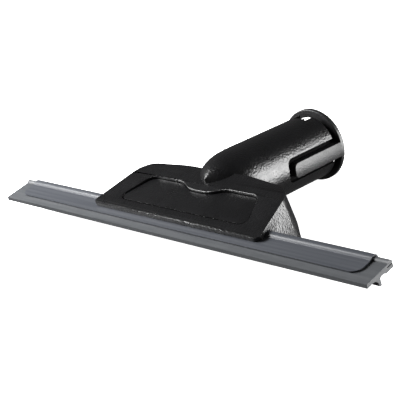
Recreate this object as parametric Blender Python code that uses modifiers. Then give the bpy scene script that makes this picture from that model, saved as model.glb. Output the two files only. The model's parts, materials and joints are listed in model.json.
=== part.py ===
"""Window cleaning squeegee head for a steam cleaner.

A moulded body with a socket tube at the back, a screwed base, a metal rail that
grips a two-lipped rubber blade, a steam nozzle bar under the blade, and a sprung
release ring on the socket.  Metres; +X along the blade, +Y back along the socket
tube, +Z up.  The origin is the middle of the footprint, on the resting surface.
"""

import math

import bmesh
import bpy
from mathutils import Matrix, Vector

# ---------------------------------------------------------------- driving sizes
GAP = 0.0003                    # clearance between pieces that touch

# socket tube and nose
AXIS_Z = 0.0200                 # height of the tube's axis
TUBE_RADIUS = 0.0178
BORE_RADIUS = 0.0144
TUBE_END_Y = 0.0547
NECK_RADIUS = 0.0153            # thin neck of the tube that reaches into the ring
NECK_END_Y = 0.0578
NOSE_REACH = 0.0255             # how far the nose reaches forward of the full tube
NOSE_WIDTH = (0.0258, 3.3, 0.80)    # length, bulge and bluntness seen from above
NOSE_HEIGHT = (0.0290, 2.3, 0.50)  # the same seen from the side
INNER_NOSE = (0.0232, 2.0, 0.57)
BULKHEAD = (0.0040, 0.0080)     # wall across the tube, front and back faces
CIRCLE_STEPS = 56
WELD = 0.000005                 # points closer than this are one point

# plate on top of the body, in its own sloping plane: x across, u up the slope
PLATE_DATUM = Vector((0.0, -0.0510, 0.0182))
PLATE_PITCH = math.radians(18.55)
PLATE_FRONT = (0.0587, -0.0018)
PLATE_BACK = (0.0507, 0.0339)
PLATE_BROW = (0.0220, 0.0374)
PLATE_EDGE_ROUND = 0.0018
WALL = 0.0030

# inlay panel, in a plane that dips behind the plate's
PANEL_FRONT_U = 0.0054
PANEL_DIP = math.radians(3.4)
PANEL_THICKNESS = 0.00085
PANEL_SINK = 0.0003
PANEL_GAP = 0.00055

# blade, in its own plane: y back from the lip, z square to the blade
BLADE_DATUM = Vector((0.0, -0.0602, 0.01085))
BLADE_PITCH = math.radians(12.02)
RUBBER_LENGTH = 0.2500
RUBBER_TOP = 0.0019
HEEL_CENTRE = (0.01695, 0.0013)
HEEL_RADIUS = 0.00165
RAIL_LENGTH = 0.2344
RAIL_FRONT = 0.0048
RAIL_SHEET = 0.0006
RAIL_CORNER = 0.0050
HUMP_RADIUS = 0.0026

# body underside and parting
PARTING_Z = 0.0050
BASE_FLOOR = 0.0022
BODY_BACK_Y = -0.0165           # back of the body near its floor
SIDE_SPAN = 0.0700              # half length of the side-profile prisms

# release ring, its tongues and their slots
RING_RADIUS = 0.02005
RING_BORE = 0.0157
RING_Y = (0.0573, 0.0602)
RING_TRAVEL = 0.0023
TONGUE_HALF = 0.0039
TONGUE_CORNER = 0.0028
TONGUE_INNER = 0.0159
TONGUE_END_Y = 0.0199
SLOT_FLOOR = 0.0156
SLOT_HALF = 0.0066
SLOT_CORNER = 0.0040
SLOT_END_Y = 0.0173
LATCH_Y = 0.0460
LATCH_TOP = 0.0172              # outer radius of a pawl at its middle
LATCH_NOSE = 0.01385            # radius that its inner end reaches in the bore
LATCH_SLOPE = 0.35              # rise of the ramp over a pawl, per unit along Y
LATCH_WINDOW = (0.0046, 0.0050) # along Y, along Z
STOP_Y = (0.0220, 0.0238)
SPRING_END_Y = 0.0360
SPRING_RADIUS = 0.0010
SPRING_WIRE = 0.00025
SPRING_TURNS = 7

# steam line
SPIGOT_RADIUS = 0.0055
BARB_RADIUS = 0.0027
HOSE_INNER = 0.0030
HOSE_OUTER = 0.0044
BAR_SECTION = (0.0024, 0.0052)  # half height, depth
BAR_HALF = 0.0490
INLET_Z = 0.0088
NOZZLE_COUNT = 12
NOZZLE_PITCH = 0.0075
JET_FACE = ((-0.0410, 0.0), (-0.0502, 0.0105))   # slanting face under the blade

# screws
BASE_SCREW_X = (-0.048, -0.030, -0.013, 0.013, 0.030, 0.048)
BASE_SCREW_Y = -0.0310
RAIL_SCREW_X = 0.0530

# ------------------------------------------------------------------- placements
ALONG_X = Matrix(((0, 0, 1), (1, 0, 0), (0, 1, 0))).to_4x4()
ALONG_Y = Matrix.Rotation(-math.pi / 2, 4, "X")
PLATE = Matrix.Translation(PLATE_DATUM) @ Matrix.Rotation(PLATE_PITCH, 4, "X")
BLADE = Matrix.Translation(BLADE_DATUM) @ Matrix.Rotation(BLADE_PITCH, 4, "X")
PANEL = (PLATE @ Matrix.Translation((0, PANEL_FRONT_U, 0))
         @ Matrix.Rotation(-PANEL_DIP, 4, "X"))
TUBE = Matrix.Translation((0, 0, AXIS_Z)) @ ALONG_Y
INLET = Matrix.Translation((0, 0, INLET_Z)) @ ALONG_Y

COLOURS = {
    "black_plastic": ((0.020, 0.020, 0.021), 0.55, 0.0),
    "panel_plastic": ((0.016, 0.016, 0.017), 0.45, 0.0),
    "ring_plastic": ((0.055, 0.055, 0.058), 0.50, 0.0),
    "rail_metal": ((0.42, 0.44, 0.46), 0.35, 1.0),
    "blade_rubber": ((0.30, 0.31, 0.32), 0.60, 0.0),
    "brass": ((0.72, 0.52, 0.25), 0.30, 1.0),
    "seal_rubber": ((0.03, 0.03, 0.03), 0.70, 0.0),
    "hose_silicone": ((0.55, 0.16, 0.10), 0.50, 0.0),
    "steel": ((0.55, 0.56, 0.58), 0.30, 1.0),
}


# ---------------------------------------------------------------------- helpers
def start_scene():
    """Empty the file and make the collections for the parts and the cutters."""
    for item in list(bpy.data.objects):
        bpy.data.objects.remove(item, do_unlink=True)
    made = []
    for name in ("window_squeegee", "cutters"):
        collection = bpy.data.collections.new(name)
        bpy.context.scene.collection.children.link(collection)
        made.append(collection)
    return made


PARTS, CUTTERS = start_scene()


def material(name):
    """The sub-part colour called name, made once."""
    if name in bpy.data.materials:
        return bpy.data.materials[name]
    colour, roughness, metallic = COLOURS[name]
    made = bpy.data.materials.new(name)
    made.use_nodes = True
    shader = made.node_tree.nodes["Principled BSDF"]
    shader.inputs["Base Color"].default_value = (*colour, 1.0)
    shader.inputs["Roughness"].default_value = roughness
    shader.inputs["Metallic"].default_value = metallic
    return made


def tidy_mesh(mesh):
    """Weld the seams of a mesh and turn its faces outwards."""
    work = bmesh.new()
    work.from_mesh(mesh)
    bmesh.ops.remove_doubles(work, verts=work.verts, dist=1e-6)
    bmesh.ops.recalc_face_normals(work, faces=work.faces)
    work.to_mesh(mesh)
    work.free()


def solid(name, mesh, placement, colour=None):
    """An object from a mesh: a part if it has a colour, a cutter if it has none."""
    mesh.transform(placement)
    tidy_mesh(mesh)
    made = bpy.data.objects.new(name, mesh)
    if colour is None:
        CUTTERS.objects.link(made)
        made.hide_render = True
        made.display_type = "WIRE"
    else:
        PARTS.objects.link(made)
        made.data.materials.clear()
        made.data.materials.append(material(colour))
        made.data.shade_smooth()
        made.data.set_sharp_from_angle(angle=math.radians(35))
    return made


def evaluated_mesh(source):
    """The mesh of a curve or of an object with modifiers; the source is removed."""
    bpy.context.view_layer.update()
    graph = bpy.context.evaluated_depsgraph_get()
    mesh = bpy.data.meshes.new_from_object(source.evaluated_get(graph))
    bpy.data.objects.remove(source, do_unlink=True)
    return mesh


def set_origin(made, place):
    """Move a piece's origin to a point without moving its shape."""
    made.data.transform(Matrix.Translation(-Vector(place)))
    made.location = place


def prism(name, outline, span, placement, colour=None):
    """A flat outline with thickness; span is its low and high local Z."""
    curve = bpy.data.curves.new(name, "CURVE")
    curve.dimensions = "2D"
    curve.fill_mode = "BOTH"
    curve.extrude = (span[1] - span[0]) / 2
    spline = curve.splines.new("POLY")
    spline.points.add(len(outline) - 1)
    for point, (across, up) in zip(spline.points, outline):
        point.co = (across, up, 0.0, 1.0)
    spline.use_cyclic_u = True
    source = bpy.data.objects.new(name + "_curve", curve)
    CUTTERS.objects.link(source)
    mesh = evaluated_mesh(source)
    mesh.transform(Matrix.Translation((0, 0, (span[0] + span[1]) / 2)))
    return solid(name, mesh, placement, colour)


def turned(name, profile, placement, colour=None, steps=CIRCLE_STEPS, closed=False):
    """A turned shape about local Z from (radius, height) points, top first."""
    mesh = bpy.data.meshes.new(name)
    edges = [(i, i + 1) for i in range(len(profile) - 1)]
    if closed:
        edges.append((len(profile) - 1, 0))
    mesh.from_pydata([(r, 0.0, h) for r, h in profile], edges, [])
    source = bpy.data.objects.new(name + "_profile", mesh)
    CUTTERS.objects.link(source)
    screw = source.modifiers.new("turn", "SCREW")
    screw.steps = steps
    screw.render_steps = steps
    screw.use_merge_vertices = True
    screw.merge_threshold = 1e-6
    return solid(name, evaluated_mesh(source), placement, colour)


def rod(name, radius, low, high, placement, colour=None, steps=24):
    """A plain cylinder along local Z."""
    profile = [(0, high), (radius, high), (radius, low), (0, low)]
    return turned(name, profile, placement, colour, steps)


def block(name, low, high, placement=None, colour=None):
    """A box between two corners."""
    mesh = bpy.data.meshes.new(name)
    work = bmesh.new()
    bmesh.ops.create_cube(work, size=1.0)
    size = [b - a for a, b in zip(low, high)]
    middle = [(a + b) / 2 for a, b in zip(low, high)]
    bmesh.ops.scale(work, vec=size, verts=work.verts)
    bmesh.ops.translate(work, vec=middle, verts=work.verts)
    work.to_mesh(mesh)
    work.free()
    return solid(name, mesh, placement or Matrix.Identity(4), colour)


def pipe(name, points, radius, colour=None, resolution=2):
    """A round rod along a smooth route, with filled ends."""
    curve = bpy.data.curves.new(name, "CURVE")
    curve.dimensions = "3D"
    curve.bevel_depth = radius
    curve.bevel_resolution = resolution
    curve.use_fill_caps = True
    spline = curve.splines.new("POLY")
    spline.points.add(len(points) - 1)
    for point, place in zip(spline.points, points):
        point.co = (*place, 1.0)
    source = bpy.data.objects.new(name + "_curve", curve)
    CUTTERS.objects.link(source)
    return solid(name, evaluated_mesh(source), Matrix.Identity(4), colour)


def boolean(target, operation, *tools):
    """Cut, join or intersect target with each tool in turn."""
    for tool in tools:
        step = target.modifiers.new(tool.name, "BOOLEAN")
        step.operation = operation
        step.object = tool
        step.solver = "EXACT"
        weld = target.modifiers.new(tool.name + "_weld", "WELD")
        weld.merge_threshold = WELD


def arc(centre, radius, start, end, steps):
    """Points along an arc; angles in degrees."""
    points = []
    for i in range(steps + 1):
        angle = math.radians(start + (end - start) * i / steps)
        points.append((centre[0] + radius * math.cos(angle),
                       centre[1] + radius * math.sin(angle)))
    return points


def rounded(corners, steps=5):
    """A closed outline from (x, y, radius) corners, each corner an arc."""
    outline = []
    count = len(corners)
    for i, (x, y, radius) in enumerate(corners):
        here = Vector((x, y))
        before = (Vector(corners[i - 1][:2]) - here).normalized()
        after = (Vector(corners[(i + 1) % count][:2]) - here).normalized()
        if radius == 0:
            outline.append((x, y))
            continue
        half = before.angle(after) / 2
        centre = here + (before + after).normalized() * radius / math.sin(half)
        reach = radius / math.tan(half)
        first = here + before * reach - centre
        last = here + after * reach - centre
        turn = first.angle_signed(last)
        for k in range(steps + 1):
            spoke = first.copy()
            spoke.rotate(Matrix.Rotation(-turn * k / steps, 2))
            outline.append(tuple(centre + spoke))
    return outline


def mirrored(right_half):
    """A full list of corners from those on the +X side, front to back."""
    left = [(-x, y, radius) for x, y, radius in reversed(right_half)]
    return right_half + left


# ------------------------------------------------------------------- body shape
def plate_outline(inset=0.0):
    """Outline of the plate, or of the space inside its walls."""
    corner = max(0.0030 - inset, 0.0008)
    return rounded(mirrored([
        (PLATE_FRONT[0] - inset, PLATE_FRONT[1] + inset, corner),
        (PLATE_BACK[0] - inset, PLATE_BACK[1] - inset, 0.0130 - inset),
        (PLATE_BROW[0], PLATE_BROW[1] - inset, 0.0600),
    ]), steps=6)


def side_outline():
    """Side view of the body below the plate: slanting front, rounded back."""
    return rounded([
        (-0.0410, 0.0, 0.0010),
        (BODY_BACK_Y, 0.0, 0.0045),
        (BODY_BACK_Y, 0.0075, 0.0120),
        (-0.0125, 0.0180, 0.0120),
        (-0.0100, 0.0600, 0.0),
        (-0.0800, 0.0600, 0.0),
        (-0.0800, 0.0045, 0.0),
        (-0.0502, 0.0105, 0.0008),
    ])


def nose_share(ahead, shape):
    """Share of the full radius left at a distance ahead of the full tube."""
    length, bulge, bluntness = shape
    return max(1.0 - (ahead / length) ** bulge, 0.0) ** bluntness


def nose_profile(radius, reach, shape):
    """Profile of a nose, from the full tube forward to the nose's tip."""
    points = []
    steps = 14
    for i in range(steps + 1):
        ahead = reach * math.sin(math.pi / 2 * i / steps)
        points.append((radius * nose_share(ahead, shape), -ahead))
    return points + [(0.0, -reach)]


def tube_with_nose():
    """Round tube whose nose narrows faster from side to side than in height."""
    profile = [(0.0, NECK_END_Y), (NECK_RADIUS, NECK_END_Y), (NECK_RADIUS, TUBE_END_Y),
               (TUBE_RADIUS, TUBE_END_Y)]
    profile += nose_profile(TUBE_RADIUS, NOSE_REACH, NOSE_HEIGHT)
    tube = turned("add_tube", profile, TUBE)
    for vertex in tube.data.vertices:
        ahead = max(-vertex.co.y, 0.0)
        vertex.co.x *= nose_share(ahead, NOSE_WIDTH) / nose_share(ahead, NOSE_HEIGHT)
    return tube


def body_block(name, colour=None):
    """The plate's outline carried down square to the plate, cut to the side view."""
    made = prism(name, plate_outline(), (-0.0600, 0.0), PLATE, colour)
    edge = made.modifiers.new("edge_round", "BEVEL")
    edge.width = PLATE_EDGE_ROUND
    edge.segments = 3
    edge.limit_method = "ANGLE"
    edge.angle_limit = math.radians(60)
    side = prism(name + "_side", side_outline(), (-SIDE_SPAN, SIDE_SPAN), ALONG_X)
    boolean(made, "INTERSECT", side)
    return made


def channel_cutter():
    """Space for the rail and rubber: open at the front, arched over the hump."""
    roof = RUBBER_TOP + GAP + RAIL_SHEET + GAP
    y, z = HEEL_CENTRE
    reach = HUMP_RADIUS + GAP
    over = arc((y, z), reach, 0, 128, 10)
    outline = [(-0.0300, -0.0026), (y + reach - 0.0008, -0.0026), (y + reach, -0.0018)]
    outline += over + [(0.0142, roof + 0.00025), (0.0132, roof), (-0.0300, roof)]
    return prism("cut_channel", outline, (-SIDE_SPAN, SIDE_SPAN), BLADE @ ALONG_X)


def chamber_cutters():
    """Hollow of the body, and of the tube in front of the bulkhead."""
    floor = PLATE_DATUM.z - 0.0042 / math.cos(PLATE_PITCH)
    slope = math.tan(PLATE_PITCH)

    def under_plate(y):
        return floor + (y - PLATE_DATUM.y) * slope

    hollow = prism("cut_chamber", plate_outline(WALL), (-0.0600, 0.0), PLATE)
    inside = prism("cut_chamber_side", rounded([
        (-0.0378, -0.0050, 0.0),
        (-0.0220, -0.0050, 0.0),
        (-0.0220, 0.0065, 0.0040),
        (-0.0160, 0.0130, 0.0080),
        (-0.0140, under_plate(-0.0140), 0.0),
        (-0.0378, under_plate(-0.0378), 0.0020),
    ]), (-SIDE_SPAN, SIDE_SPAN), ALONG_X)
    boolean(hollow, "INTERSECT", inside)
    profile = [(0.0, 0.0700), (BORE_RADIUS, 0.0700), (BORE_RADIUS, BULKHEAD[1]),
               (0.0047, BULKHEAD[1]), (0.0047, BULKHEAD[0]), (BORE_RADIUS, BULKHEAD[0])]
    profile += nose_profile(BORE_RADIUS, INNER_NOSE[0], INNER_NOSE)[:-1]
    return hollow, turned("cut_tube_inside", profile, TUBE, steps=CIRCLE_STEPS)


def panel_outline(grow=0.0):
    """Inlay panel: straight front, slanting sides, dip round the nose."""
    lean = 0.28 * grow
    return rounded(mirrored([
        (0.0446 + 1.5 * grow, -grow, 0.0034 + grow),
        (0.0369 + 0.7 * grow, 0.0197 + grow, 0.0060 + grow),
        (0.0150 - lean, 0.0197 + grow, 0.0150 + grow),
        (0.0073 - lean, 0.0150 + grow, 0.0150 - grow),
    ]), steps=6)


def side_frame(side):
    """Local X runs out from the tube's axis at the given side, local Y back."""
    return Matrix.Translation((0, 0, AXIS_Z)) @ Matrix.Rotation(
        0 if side > 0 else math.pi, 4, "Y")


def slot_cutters(side):
    """Slot in the tube wall for one tongue, and the pawl's window in its floor."""
    place = side_frame(side)
    tag = "right" if side > 0 else "left"
    outline = rounded([
        (-SLOT_HALF, 0.0700, 0.0), (-SLOT_HALF, SLOT_END_Y, SLOT_CORNER),
        (SLOT_HALF, SLOT_END_Y, SLOT_CORNER), (SLOT_HALF, 0.0700, 0.0)])
    face = place @ Matrix(((0, 0, 1), (0, 1, 0), (-1, 0, 0))).to_4x4()
    slot = prism("cut_slot_" + tag, outline, (0.0120, 0.0300), face)
    core = rod("keep_slot_core_" + tag, SLOT_FLOOR, -0.10, 0.10, TUBE, steps=CIRCLE_STEPS)
    boolean(slot, "DIFFERENCE", core)
    stop = block("cut_stop_" + tag, (0.0100, STOP_Y[0], -0.0012),
                 (0.0176, STOP_Y[1], 0.0012), place)
    boolean(slot, "DIFFERENCE", stop)
    half_y, half_z = LATCH_WINDOW[0] / 2, LATCH_WINDOW[1] / 2
    window = block("cut_window_" + tag, (0.0100, LATCH_Y - half_y, -half_z),
                   (0.0165, LATCH_Y + half_y, half_z), place)
    return slot, window


def jet_frame():
    """Frame on the slanting face: local Y up the face, local Z out of it."""
    low, high = (Vector((0, *p)) for p in JET_FACE)
    up = (high - low).normalized()
    out = Vector((1, 0, 0)).cross(up)
    across = up.cross(out)
    made = Matrix((across, up, out)).transposed().to_4x4()
    return Matrix.Translation((low + high) / 2) @ made


def bar_prism(name, out, grow=0.0, colour=None):
    """The nozzle bar, or with grow the slot for it; out is how far it stands out."""
    half_height, depth = (size + grow for size in BAR_SECTION)
    outline = [(half_height, out), (half_height, -depth), (-half_height, -depth),
               (-half_height, out)]
    place = jet_frame() @ ALONG_X
    return prism(name, outline, (-BAR_HALF - grow, BAR_HALF + grow), place, colour)


def screw_axis(x):
    """Frame of one base screw, pointing up from the resting plane."""
    return Matrix.Translation((x, BASE_SCREW_Y, 0.0))


def rail_screw_axis(side):
    """Frame of one rail grub screw, square to the blade under its heel."""
    return BLADE @ Matrix.Translation((side * RAIL_SCREW_X, HEEL_CENTRE[0], 0.0))


def make_top_shell():
    """Plate, socket tube and flanks in one moulding, hollow and open below."""
    shell = body_block("top_shell", "black_plastic")
    boolean(shell, "UNION", tube_with_nose())
    below = block("cut_below_parting", (-0.0900, -0.0900, -0.0100),
                  (0.0900, BODY_BACK_Y + GAP, PARTING_Z + GAP))
    boolean(shell, "DIFFERENCE", below, *chamber_cutters())
    for side in (1, -1):
        boolean(shell, "DIFFERENCE", *slot_cutters(side))
    notch = block("cut_latch_notch", (-0.0044, 0.0487, 0.0300), (0.0044, 0.0600, 0.0450))
    boolean(shell, "DIFFERENCE", notch)
    for i, x in enumerate(BASE_SCREW_X):
        post = rod(f"add_post_{i}", 0.0034, PARTING_Z + GAP, 0.0205, screw_axis(x), steps=16)
        boolean(shell, "UNION", post)
    for i, x in enumerate(BASE_SCREW_X):
        pilot = rod(f"cut_pilot_{i}", 0.0016, 0.0020, 0.0150, screw_axis(x), steps=12)
        boolean(shell, "DIFFERENCE", pilot)
    pocket = prism("cut_panel_pocket", panel_outline(PANEL_GAP),
                   (-PANEL_SINK - PANEL_THICKNESS - 0.00025, 0.0100), PANEL)
    boolean(shell, "DIFFERENCE", pocket, channel_cutter())
    boolean(shell, "DIFFERENCE", *bar_cutters("top"))
    for side in (1, -1):
        bore = rod(f"cut_rail_screw_{side}", 0.0018, -0.0300, 0.0, rail_screw_axis(side),
                   steps=12)
        boolean(shell, "DIFFERENCE", bore)
    return shell


def bar_cutters(tag):
    """The nozzle bar's slot, and the way through for its inlet."""
    slot = bar_prism("cut_bar_" + tag, 0.0050, GAP)
    inlet = rod("cut_inlet_" + tag, BARB_RADIUS + GAP, -0.0430, -0.0370, INLET)
    return slot, inlet


def make_base_cover():
    """Shallow tray that closes the body underneath, with six screw seats."""
    base = body_block("base_cover", "black_plastic")
    hollow = prism("cut_base_hollow", plate_outline(WALL), (-0.0600, 0.0), PLATE)
    inside = block("cut_base_inside", (-0.0900, -0.0378, BASE_FLOOR), (0.0900, -0.0262, 0.0200))
    boolean(hollow, "INTERSECT", inside)
    boolean(base, "DIFFERENCE", hollow)
    for i, x in enumerate(BASE_SCREW_X):
        seat = rod(f"add_seat_{i}", 0.0044, 0.0010, 0.0150, screw_axis(x), steps=16)
        boolean(base, "UNION", seat)
    above = block("cut_above_parting", (-0.0900, -0.0900, PARTING_Z), (0.0900, 0.0300, 0.0900))
    boolean(base, "DIFFERENCE", above)
    for i, x in enumerate(BASE_SCREW_X):
        profile = [(0, 0.0100), (0.0017, 0.0100), (0.0017, 0.0026), (0.0033, 0.0026),
                   (0.0033, -0.0020), (0, -0.0020)]
        boolean(base, "DIFFERENCE", turned(f"cut_seat_{i}", profile, screw_axis(x), steps=16))
    boolean(base, "DIFFERENCE", *bar_cutters("base"))
    for side in (1, -1):
        way = rod(f"cut_rail_key_{side}", 0.0018, -0.0300, 0.0, rail_screw_axis(side),
                  steps=12)
        boolean(base, "DIFFERENCE", way)
    return base


def make_top_panel():
    """Thin inlay that covers the middle of the plate."""
    top = -PANEL_SINK
    panel = prism("top_panel", panel_outline(), (top - PANEL_THICKNESS, top), PANEL,
                  "panel_plastic")
    edge = panel.modifiers.new("edge_round", "BEVEL")
    edge.width = 0.0003
    edge.segments = 2
    edge.limit_method = "ANGLE"
    edge.angle_limit = math.radians(60)
    return panel


# ------------------------------------------------------------------------ blade
def make_rail():
    """Thin sheet: flat skirt, half-round hump, and a hem folded under the heel."""
    y, z = HEEL_CENTRE
    low = RUBBER_TOP + GAP
    high = low + RAIL_SHEET
    inner = HUMP_RADIUS - RAIL_SHEET
    outline = [(RAIL_FRONT, low)] + arc((y, z), inner, 154, 0, 10)
    outline += arc((y + inner - 0.0006, -0.0012), 0.0006, 0, -90, 3)
    outline += [(0.0155, -0.0018), (0.0155, -0.0018 - RAIL_SHEET + 0.0001)]
    outline += arc((y + HUMP_RADIUS - 0.0011, -0.0012), 0.0011, -90, 0, 4)
    outline += arc((y, z), HUMP_RADIUS, 0, 133, 12)
    outline += arc((0.0139, high + 0.0009), 0.0009, -52, -90, 3)
    outline += [(RAIL_FRONT, high)]
    rail = prism("rail", outline, (-RAIL_LENGTH / 2, RAIL_LENGTH / 2), BLADE @ ALONG_X,
                 "rail_metal")
    plan = prism("keep_rail_plan", rounded(mirrored([
        (RAIL_LENGTH / 2 - 0.0001, RAIL_FRONT, RAIL_CORNER),
        (RAIL_LENGTH / 2 - 0.0001, 0.0300, 0.0)]), steps=6), (-0.0100, 0.0100), BLADE)
    boolean(rail, "INTERSECT", plan)
    return rail


def make_rubber_blade():
    """Two-lipped rubber: flat front lip, hooked second lip, split round heel."""
    y, z = HEEL_CENTRE
    outline = [(0.0, 0.0), (0.0003, RUBBER_TOP)]
    outline += arc((y, z), HEEL_RADIUS, 159, 0, 9)
    outline += [(y + HEEL_RADIUS, 0.0009), (0.0146, 0.0009), (0.0146, 0.0004),
                (y + HEEL_RADIUS, 0.0004)]
    outline += arc((y + HEEL_RADIUS - 0.0006, -0.0008), 0.0006, 0, -90, 3)
    outline += [(0.0132, -0.0014), (0.0118, -0.0005), (0.0096, -0.0005)]
    outline += [(0.0090, -0.0010), (0.0089, -0.0042), (0.0079, -0.0043)]
    outline += arc((0.0040, -0.0034), 0.0034, 0, 90, 6)
    return prism("rubber_blade", outline, (-RUBBER_LENGTH / 2, RUBBER_LENGTH / 2),
                 BLADE @ ALONG_X, "blade_rubber")


# ----------------------------------------------------------------- release ring
def make_release_ring():
    """Ring behind the tube's end, flat where it rests, with two long tongues."""
    low, high = RING_Y
    edge = 0.0006
    profile = [(RING_BORE, high), (RING_RADIUS - edge, high), (RING_RADIUS, high - edge),
               (RING_RADIUS, low + edge), (RING_RADIUS - edge, low), (RING_BORE, low)]
    ring = turned("release_ring", profile, TUBE, "ring_plastic", closed=True)
    for side in (1, -1):
        boolean(ring, "UNION", tongue(side))
    for side in (1, -1):
        boolean(ring, "DIFFERENCE", *tongue_pockets(side))
    flat = block("cut_ring_flat", (-0.0100, 0.0400, -0.0100), (0.0100, 0.0700, 0.0))
    boolean(ring, "DIFFERENCE", flat)
    set_origin(ring, (0.0, RING_Y[0], AXIS_Z))
    return ring


def tongue(side):
    """One tongue: a strip of the ring's own radius with a rounded free end."""
    tag = "right" if side > 0 else "left"
    face = side_frame(side) @ Matrix(((0, 0, 1), (0, 1, 0), (-1, 0, 0))).to_4x4()
    back = RING_Y[1] - 0.0010
    strip = prism("add_tongue_" + tag, rounded([
        (-TONGUE_HALF, back, 0.0), (-TONGUE_HALF, TONGUE_END_Y, TONGUE_CORNER),
        (TONGUE_HALF, TONGUE_END_Y, TONGUE_CORNER), (TONGUE_HALF, back, 0.0)]),
        (0.0100, 0.0300), face)
    skin = turned("keep_tongue_" + tag, [
        (TONGUE_INNER, back), (RING_RADIUS - 0.00005, back),
        (RING_RADIUS - 0.00005, 0.0100), (TONGUE_INNER, 0.0100)], TUBE,
        steps=CIRCLE_STEPS, closed=True)
    boolean(strip, "INTERSECT", skin)
    return strip


def tongue_pockets(side):
    """Inside a tongue: ramped pocket over the pawl, groove for spring and stop."""
    place = side_frame(side)
    tag = "right" if side > 0 else "left"
    front = LATCH_Y - 0.0024
    back = LATCH_Y + 0.0024 + RING_TRAVEL

    def roof(y):
        return LATCH_TOP + LATCH_SLOPE * (y - LATCH_Y) + GAP

    ramp = prism("cut_ramp_" + tag, [
        (0.0140, front), (roof(front), front), (roof(back), back), (0.0140, back)],
        (-0.0028, 0.0028), place)
    groove = block("cut_groove_" + tag, (0.0140, STOP_Y[0] - GAP, -0.0015),
                   (0.0185, SPRING_END_Y, 0.0015), place)
    return ramp, groove


def make_latch_pawl(side):
    """Pawl that stands into the bore through the slot's floor."""
    tag = "right" if side > 0 else "left"
    place = side_frame(side)
    front, back = LATCH_Y - 0.0020, LATCH_Y + 0.0020
    nose = LATCH_NOSE

    def top(y):
        return LATCH_TOP + LATCH_SLOPE * (y - LATCH_Y)

    outline = [(nose, front + 0.0006), (nose + 0.0010, front), (top(front), front),
               (top(back), back), (nose + 0.0016, back), (nose, back - 0.0016)]
    pawl = prism("latch_pawl_" + tag, outline, (-0.0021, 0.0021), place, "steel")
    set_origin(pawl, (side * 0.0160, LATCH_Y, AXIS_Z))
    return pawl


def make_return_spring(side):
    """Coil in the tongue's groove, between the tube's stop and the groove's end."""
    tag = "right" if side > 0 else "left"
    place = side_frame(side)
    start = STOP_Y[1] + GAP + SPRING_WIRE
    end = SPRING_END_Y - GAP - SPRING_WIRE
    count = SPRING_TURNS * 8
    points = []
    for i in range(count + 1):
        angle = 2 * math.pi * SPRING_TURNS * i / count
        local = Vector((0.01705 + SPRING_RADIUS * math.cos(angle),
                        start + (end - start) * i / count,
                        SPRING_RADIUS * math.sin(angle)))
        points.append(place @ local)
    return pipe("return_spring_" + tag, points, SPRING_WIRE, "steel", resolution=1)


# ------------------------------------------------------------------- steam line
def make_spigot():
    """Turned nipple through the bulkhead: hose barb, flange, two seal grooves."""
    bore = 0.0020
    groove_depth = 0.0012
    ring_heights = (0.0305, 0.0255)
    profile = [(bore, 0.0340), (SPIGOT_RADIUS - 0.0008, 0.0340), (SPIGOT_RADIUS, 0.0332)]
    for height in ring_heights:
        profile += [(SPIGOT_RADIUS, height + 0.0012),
                    (SPIGOT_RADIUS - groove_depth, height + 0.0012),
                    (SPIGOT_RADIUS - groove_depth, height - 0.0012),
                    (SPIGOT_RADIUS, height - 0.0012)]
    profile += [(SPIGOT_RADIUS, 0.0103), (0.0080, 0.0103), (0.0080, BULKHEAD[1] + GAP),
                (0.0044, BULKHEAD[1] + GAP), (0.0044, -0.0010), (BARB_RADIUS, -0.0010),
                (BARB_RADIUS, -0.0094), (bore, -0.0094)]
    return turned("steam_spigot", profile, TUBE, "brass", steps=24, closed=True)


def make_spigot_nut():
    """Hexagon nut that clamps the spigot to the bulkhead from the front."""
    flats = [(0.0083 * math.cos(math.pi / 3 * i), 0.0083 * math.sin(math.pi / 3 * i))
             for i in range(6)]
    nut = prism("spigot_nut", flats, (0.0002, BULKHEAD[0] - GAP), TUBE, "brass")
    boolean(nut, "DIFFERENCE", rod("cut_nut", 0.0047, -0.0100, 0.0100, TUBE))
    return nut


def make_seal(name, height):
    """O-ring standing proud of its groove in the spigot."""
    wire = 0.0008
    centre = SPIGOT_RADIUS - 0.0012 + GAP + wire
    profile = [(centre + wire * math.cos(a), height + wire * math.sin(a))
               for a in (2 * math.pi * i / 8 for i in range(8))]
    return turned(name, profile, TUBE, "seal_rubber", steps=24, closed=True)


def hose_route():
    """Smooth route of the hose from the nozzle bar's inlet back to the spigot."""
    start, low = (Vector((0, y, INLET_Z)) for y in (-0.0372, -0.0326))
    high, end = (Vector((0, y, AXIS_Z)) for y in (-0.0094, -0.0016))
    reach = Vector((0, 0.0120, 0))
    points = [start]
    count = 12
    for i in range(count + 1):
        t = i / count
        weights = ((1 - t) ** 3, 3 * t * (1 - t) ** 2, 3 * t * t * (1 - t), t ** 3)
        corners = (low, low + reach, high - reach, high)
        points.append(sum((w * c for w, c in zip(weights, corners)), Vector()))
    return points + [end]


def make_steam_hose():
    """Silicone hose between the spigot's barb and the nozzle bar's barb."""
    route = hose_route()
    hose = pipe("steam_hose", route, HOSE_OUTER, "hose_silicone")
    first = (route[0] - route[1]).normalized() * 0.0020
    last = (route[-1] - route[-2]).normalized() * 0.0020
    through = [route[0] + first] + route + [route[-1] + last]
    boolean(hose, "DIFFERENCE", pipe("cut_hose", through, HOSE_INNER))
    return hose


def make_hose_clip(name, at):
    """Round spring clip on a straight end of the hose."""
    inner = HOSE_OUTER + GAP
    profile = [(inner, 0.0010), (inner + 0.0007, 0.0010), (inner + 0.0007, -0.0010),
               (inner, -0.0010)]
    place = Matrix.Translation(at) @ ALONG_Y
    return turned(name, profile, place, "steel", steps=24, closed=True)


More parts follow.
